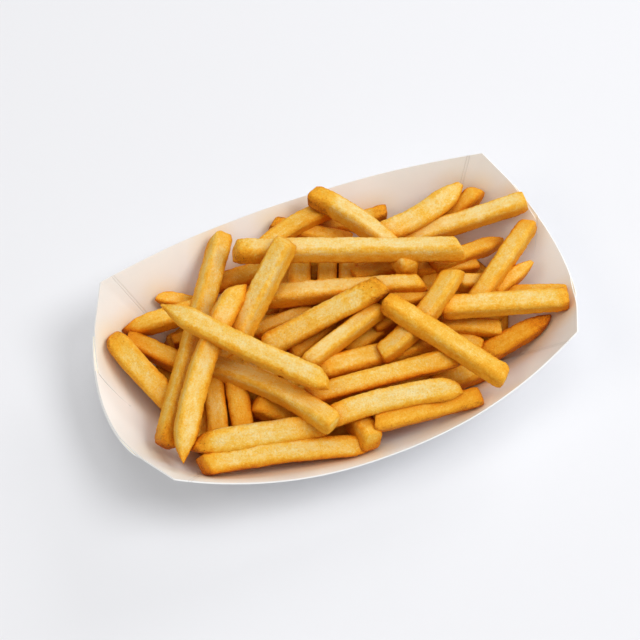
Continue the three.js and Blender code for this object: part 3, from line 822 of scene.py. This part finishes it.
def board_piece(name, grids, materials, heap):
    """A piece of paperboard from grids of points on its inner face."""
    points, faces, count = [], [], 0
    for grid in grids:
        columns, rows = grid.shape[:2]
        points.append(grid.reshape(-1, 3))
        faces.append(grid_faces(columns, rows, count))
        count += columns * rows
    points, faces = np.concatenate(points), np.concatenate(faces)
    middle = points[faces].mean(1)
    a, b, c, d = (points[faces[:, i]] for i in range(4))
    facing = np.cross(c - a, d - b)
    inside = (facing * (np.array([0, 0, 60]) - middle)).sum(1) > 0
    faces = np.where(inside[:, None], faces, faces[:, ::-1])
    numbers = {"fold": fold_distance(points), "fry_shade": fry_shade_amount(points, heap)}
    piece = make_object(name, warped(points), faces.tolist(), numbers)
    shape = bmesh.new()
    shape.from_mesh(piece.data)
    bmesh.ops.remove_doubles(shape, verts=shape.verts, dist=0.004 * MM)
    shape.to_mesh(piece.data)
    shape.free()
    for material in materials:
        piece.data.materials.append(material)
    thick = piece.modifiers.new("board", "SOLIDIFY")
    thick.thickness = BOARD * MM
    thick.offset = -1
    thick.use_even_offset = True
    thick.use_quality_normals = True
    thick.material_offset = 2
    thick.material_offset_rim = 1
    graph = bpy.context.evaluated_depsgraph_get()
    solid = bpy.data.meshes.new_from_object(piece.evaluated_get(graph))
    piece.modifiers.clear()
    piece.data = solid
    solid.polygons.foreach_set("use_smooth", [True] * len(solid.polygons))
    solid.set_sharp_from_angle(angle=math.radians(FOLD_ANGLE))
    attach(piece, "root")
    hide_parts("tray")


FOLD_ANGLE = 14                # a bend sharper than this shows as a fold


def end_panel(sign):
    """The inner face of an outer end panel, a board outside the end wall's line."""
    share = np.linspace(*PANEL_REACH[sign], 65)[:, None]
    levels = np.linspace(PANEL_FOOT, 1, 25) * (1 - PANEL_DROOP * smooth_step(0.8, 1, -share))
    grid = end_points(share, levels)
    along = np.gradient(grid, axis=0)
    up = np.gradient(grid, axis=1)
    normals = unit(np.cross(along, up))
    grid = grid + normals * (BOARD + GLUE)
    return grid * np.array([sign, 1, 1])


def make_tray(heap):
    materials = [
        # painted warm light: the inner face's colour is a little yellower than the outside's
        paperboard("paperboard", (0.94, 0.932, 0.895), inner=True),
        paperboard("board_edge", (0.94, 0.94, 0.93)),
        paperboard("board_outside", (0.94, 0.935, 0.92)),
    ]
    back = [quarter_turns(grid)[::2] for grid in tray_quarter(front=False)]
    front = [quarter_turns(grid)[1::2] for grid in tray_quarter(front=True)]
    walls = [grid for part in back + front for grid in part]
    board_piece("tray_board", [floor_grid(), *walls], materials, heap)
    board_piece("tray_end_panels", [end_panel(1), end_panel(-1)], materials, heap)


# ---------------------------------------------------------------- materials


class Nodes:
    """Adds nodes to a material and links them."""

    def __init__(self, name):
        self.material = bpy.data.materials.new(name)
        self.material.use_nodes = True
        self.tree = self.material.node_tree
        self.shader = self.tree.nodes["Principled BSDF"]

    def add(self, kind, settings=None, inputs=None):
        node = self.tree.nodes.new(kind)
        for key, value in (settings or {}).items():
            setattr(node, key, value)
        for key, value in (inputs or {}).items():
            self.put(value, node.inputs[key])
        return node

    def put(self, value, socket):
        if isinstance(value, bpy.types.NodeSocket):
            self.tree.links.new(value, socket)
        else:
            socket.default_value = value

    def maths(self, operation, *values):
        return self.add("ShaderNodeMath", {"operation": operation}, dict(enumerate(values))).outputs[0]

    def attribute(self, name, output="Fac"):
        return self.add("ShaderNodeAttribute", {"attribute_name": name}).outputs[output]

    def noise(self, place, scale, detail=2.0, roughness=0.5):
        node = self.add("ShaderNodeTexNoise", inputs={"Vector": place, "Scale": scale, "Detail": detail, "Roughness": roughness})
        return node.outputs["Fac"]

    def stretched(self, place, scale):
        return self.add("ShaderNodeMapping", inputs={"Vector": place, "Scale": scale}).outputs[0]

    def ramp(self, value, stops, interpolation="LINEAR"):
        node = self.add("ShaderNodeValToRGB", inputs={"Fac": value})
        elements = node.color_ramp.elements
        node.color_ramp.interpolation = interpolation
        while len(elements) < len(stops):
            elements.new(1)
        for element, (position, colour) in zip(elements, stops):
            element.position = position
            element.color = (*colour, 1)
        return node.outputs["Color"]

    def spread(self, value, low, high, to_low=0.0, to_high=1.0, smooth=True):
        kind = "SMOOTHSTEP" if smooth else "LINEAR"
        inputs = {"Value": value, "From Min": low, "From Max": high, "To Min": to_low, "To Max": to_high}
        return self.add("ShaderNodeMapRange", {"interpolation_type": kind}, inputs).outputs[0]

    def bump(self, height, distance, strength, normal=None):
        inputs = {"Height": height, "Distance": distance, "Strength": strength}
        if normal is not None:
            inputs["Normal"] = normal
        return self.add("ShaderNodeBump", inputs=inputs).outputs[0]

    def finish(self, inputs):
        for key, value in inputs.items():
            self.put(value, self.shader.inputs[key])
        return self.material


# How fried potato browns: pale cream, gold, orange-brown, dark brown.
BROWNING = (
    (0.0, (1.0, 0.80, 0.41)),
    (0.15, (1.0, 0.71, 0.26)),
    (0.3, (0.99, 0.58, 0.085)),
    (0.45, (0.96, 0.46, 0.028)),
    (0.6, (0.9, 0.36, 0.012)),
    (0.8, (0.52, 0.17, 0.008)),
    (1.0, (0.20, 0.06, 0.005)),
)


SHADE_REACH = 12                      # how near another fry has to be for painted shade to show, in mm
PAINTED_NOOK_SHADE = (                  # painted shade: what the skin's colour is multiplied by there, darker and more golden where fries lie close
    (0.0, (0.55, 0.22, 0.005)),
    (0.35, (0.92, 0.53, 0.015)),
    (0.65, (1.0, 0.86, 0.28)),
    (0.92, (1.0, 1.0, 1.0)),
)


def fried_potato():
    """The fries' material, with painted shade where other fries lie close. Its noise is read in each fry's own space,
    in millimetres.
    """
    n = Nodes("fried_potato")
    own = n.attribute("own", "Vector")
    skin = n.attribute("skin")
    mottle = n.noise(n.stretched(own, (0.7, 1, 1)), 0.35, 3, 0.6)
    streaks = n.noise(n.stretched(own, (0.3, 1, 1)), 0.9, 3, 0.6)
    grain = n.noise(own, 1.3, 3, 0.8)
    crumb = n.noise(own, 2.2, 2, 0.6)
    tone = n.maths("ADD", n.attribute("tone"), n.maths("MULTIPLY", n.maths("SUBTRACT", mottle, 0.5), 0.42))
    tone = n.maths("ADD", tone, n.maths("MULTIPLY", n.maths("SUBTRACT", streaks, 0.5), 0.22))
    tone = n.maths("ADD", tone, n.maths("MULTIPLY", n.maths("SUBTRACT", grain, 0.5), 0.7))
    specks = n.spread(n.noise(own, 1.1, 1, 0.5), 0.7, 0.78)
    tone = n.maths("ADD", tone, n.maths("MULTIPLY", specks, n.maths("ADD", n.maths("MULTIPLY", skin, 0.45), 0.16)))
    crumbs = n.spread(n.noise(own, 1.5, 2, 0.6), 0.6, 0.74)
    tone = n.maths("ADD", tone, n.maths("MULTIPLY", crumbs, -0.16))
    # painted shade: the skin is darkened and made more golden where other fries lie close
    open_air = n.add("ShaderNodeAmbientOcclusion", {"samples": 2}, {"Distance": SHADE_REACH * MM}).outputs["AO"]
    nook_shade_tint = n.ramp(open_air, PAINTED_NOOK_SHADE)
    colour = n.add("ShaderNodeVectorMath", {"operation": "MULTIPLY"}, {0: n.ramp(tone, BROWNING), 1: nook_shade_tint}).outputs[0]
    blister = n.add("ShaderNodeTexVoronoi", {"feature": "SMOOTH_F1"}, {"Vector": own, "Scale": 0.55, "Smoothness": 0.6}).outputs["Distance"]
    height = n.maths("ADD", n.maths("MULTIPLY", grain, 0.9), n.maths("MULTIPLY", crumb, 0.45))
    height = n.maths("ADD", height, n.maths("MULTIPLY", streaks, 0.3))
    height = n.maths("ADD", height, n.maths("MULTIPLY", blister, n.maths("ADD", n.maths("MULTIPLY", skin, 0.9), 0.1)))
    rough = n.spread(mottle, 0.3, 0.7, 0.62, 0.46, smooth=False)
    return n.finish({
        "Base Color": colour,
        "Roughness": rough,
        "Normal": n.bump(height, 0.0009, 0.8),
        "Specular IOR Level": 0.15,
        "Subsurface Weight": 0.2,
        "Subsurface Radius": (1.0, 0.7, 0.4),
        "Subsurface Scale": 0.001,
    })


PAINTED_WARM_SHADE = (                  # painted light and shade: the golden light that the fries throw on the board beside them, and their shade there
    (0.0, (1.0, 0.72, 0.40)),
    (0.5, (1.0, 0.92, 0.77)),
    (0.93, (1.0, 1.0, 1.0)),
)
FRY_SHADE_TINT = (1.0, 0.965, 0.88)     # painted shade: what the board's colour is multiplied by near the fries, warmer and darker


def paperboard(name, colour, inner=False):
    """White board: fine fibres, a faint cloudiness, and a crushed line along each fold. Its inner face also gets
    painted warm shade near the fries, and painted golden light and shade where they lie close."""
    n = Nodes(name)
    place = n.add("ShaderNodeTexCoord").outputs["Object"]
    fold = n.attribute("fold")
    fibres = n.noise(n.stretched(place, (1, 1.6, 1)), 2600, 3, 0.6)
    cloud = n.noise(place, 90, 3, 0.5)
    bead = n.spread(fold, 0.15, 0.45, 1, 0)
    crushed = n.maths("SUBTRACT", n.spread(fold, 0.5, 1.1, 1, 0), bead)
    tint = n.maths("ADD", n.spread(cloud, 0.3, 0.7, 0.985, 1.0), n.maths("MULTIPLY", crushed, -0.06))
    tint = n.maths("ADD", tint, n.maths("MULTIPLY", n.maths("SUBTRACT", fibres, 0.5), 0.02))
    shade = n.add("ShaderNodeVectorMath", {"operation": "SCALE"}, {0: colour, "Scale": tint}).outputs[0]
    if inner:
        # painted shade: the board warmer and darker near the fries
        fry_shade_tint = n.ramp(n.attribute("fry_shade"), ((0.0, (1, 1, 1)), (1.0, FRY_SHADE_TINT)))
        shade = n.add("ShaderNodeVectorMath", {"operation": "MULTIPLY"}, {0: shade, 1: fry_shade_tint}).outputs[0]
        # painted light and shade: the board darkened and warmed where fries lie close
        open_air = n.add("ShaderNodeAmbientOcclusion", {"samples": 2}, {"Distance": 0.7 * SHADE_REACH * MM}).outputs["AO"]
        painted_warm = n.ramp(open_air, PAINTED_WARM_SHADE)
        shade = n.add("ShaderNodeVectorMath", {"operation": "MULTIPLY"}, {0: shade, 1: painted_warm}).outputs[0]
    height = n.maths("SUBTRACT", n.maths("MULTIPLY", fibres, 0.12), crushed)
    height = n.maths("ADD", height, n.maths("MULTIPLY", cloud, 0.5))
    return n.finish({
        "Base Color": shade,
        "Roughness": n.spread(cloud, 0.3, 0.7, 0.48, 0.6, smooth=False),
        "Normal": n.bump(height, 0.00025, 0.6),
        "Specular IOR Level": 0.4,
    })


def floor_material():
    n = Nodes("floor_pale")
    return n.finish({"Base Color": (*FLOOR_COLOUR, 1), "Roughness": 0.95, "Specular IOR Level": 0.1})


# ---------------------------------------------------------------- the stage

FLOOR_COLOUR = (0.815, 0.823, 0.858)
WORLD = 0.44                   # strength of the light from all round
WHITE = (1.0, 1.0, 1.0)
LAMPS = {                      # direction in degrees round and up, distance, size, watts, colour
    "key": (-27, 58, 2.0, 0.9, 17, WHITE),
    "top": (60, 86, 2.0, 1.0, 6.3, WHITE),
    "low": (30, 30, 2.0, 0.9, 7.3, WHITE),
    "back": (180, 50, 2.0, 0.9, 4.3, (1.0, 0.92, 0.76)),
}


def make_floor():
    corners = np.array([[-4000, -4000, 0], [4000, -4000, 0], [4000, 4000, 0], [-4000, 4000, 0]])
    floor = make_object("floor", corners, [(0, 1, 2, 3)], smooth=False)
    floor.data.materials.append(floor_material())


def make_lamp(name, around, up, distance, size, power, colour):
    data = bpy.data.lights.new(name, "AREA")
    data.shape = "DISK"
    data.size = size
    data.energy = power
    data.color = colour
    lamp = bpy.data.objects.new(name, data)
    around, up = math.radians(around), math.radians(up)
    way = Vector((math.cos(around) * math.cos(up), math.sin(around) * math.cos(up), math.sin(up)))
    lamp.location = way * distance
    lamp.rotation_euler = way.to_track_quat("Z", "Y").to_euler()
    bpy.context.scene.collection.objects.link(lamp)


def light_stage():
    world = bpy.data.worlds.new("studio")
    world.use_nodes = True
    background = world.node_tree.nodes["Background"]
    background.inputs["Color"].default_value = (1, 1, 1, 1)
    background.inputs["Strength"].default_value = WORLD
    scene = bpy.context.scene
    scene.world = world
    scene.view_settings.view_transform = "Standard"
    for name, values in LAMPS.items():
        make_lamp(name, *values)


# ---------------------------------------------------------------- the scene

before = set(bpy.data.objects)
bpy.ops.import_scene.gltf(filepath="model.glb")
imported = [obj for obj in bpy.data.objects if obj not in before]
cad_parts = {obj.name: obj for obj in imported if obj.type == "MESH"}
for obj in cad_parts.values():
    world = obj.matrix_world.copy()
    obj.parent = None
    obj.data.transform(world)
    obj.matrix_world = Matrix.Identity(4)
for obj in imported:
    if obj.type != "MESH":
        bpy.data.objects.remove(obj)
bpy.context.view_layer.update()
make_camera()
make_floor()
light_stage()
potato = fried_potato()
bed = empty_bed()
draws = np.random.default_rng(SEED)
lines = []
for layer, items in LAYERS.items():
    axes = [window_axis(item, settle(item, bed)) for item in items]
    make_fries(layer, [fry_skin(item, axis, draws) for item, axis in zip(items, axes)], potato)
    lines += [axis(np.linspace(0, 1, ALONG + 1)) for axis in axes]
make_tray(nearest_finder(np.concatenate(lines)))
make_core(potato)
make_fries("fries_hidden", hidden_skins(draws), potato)
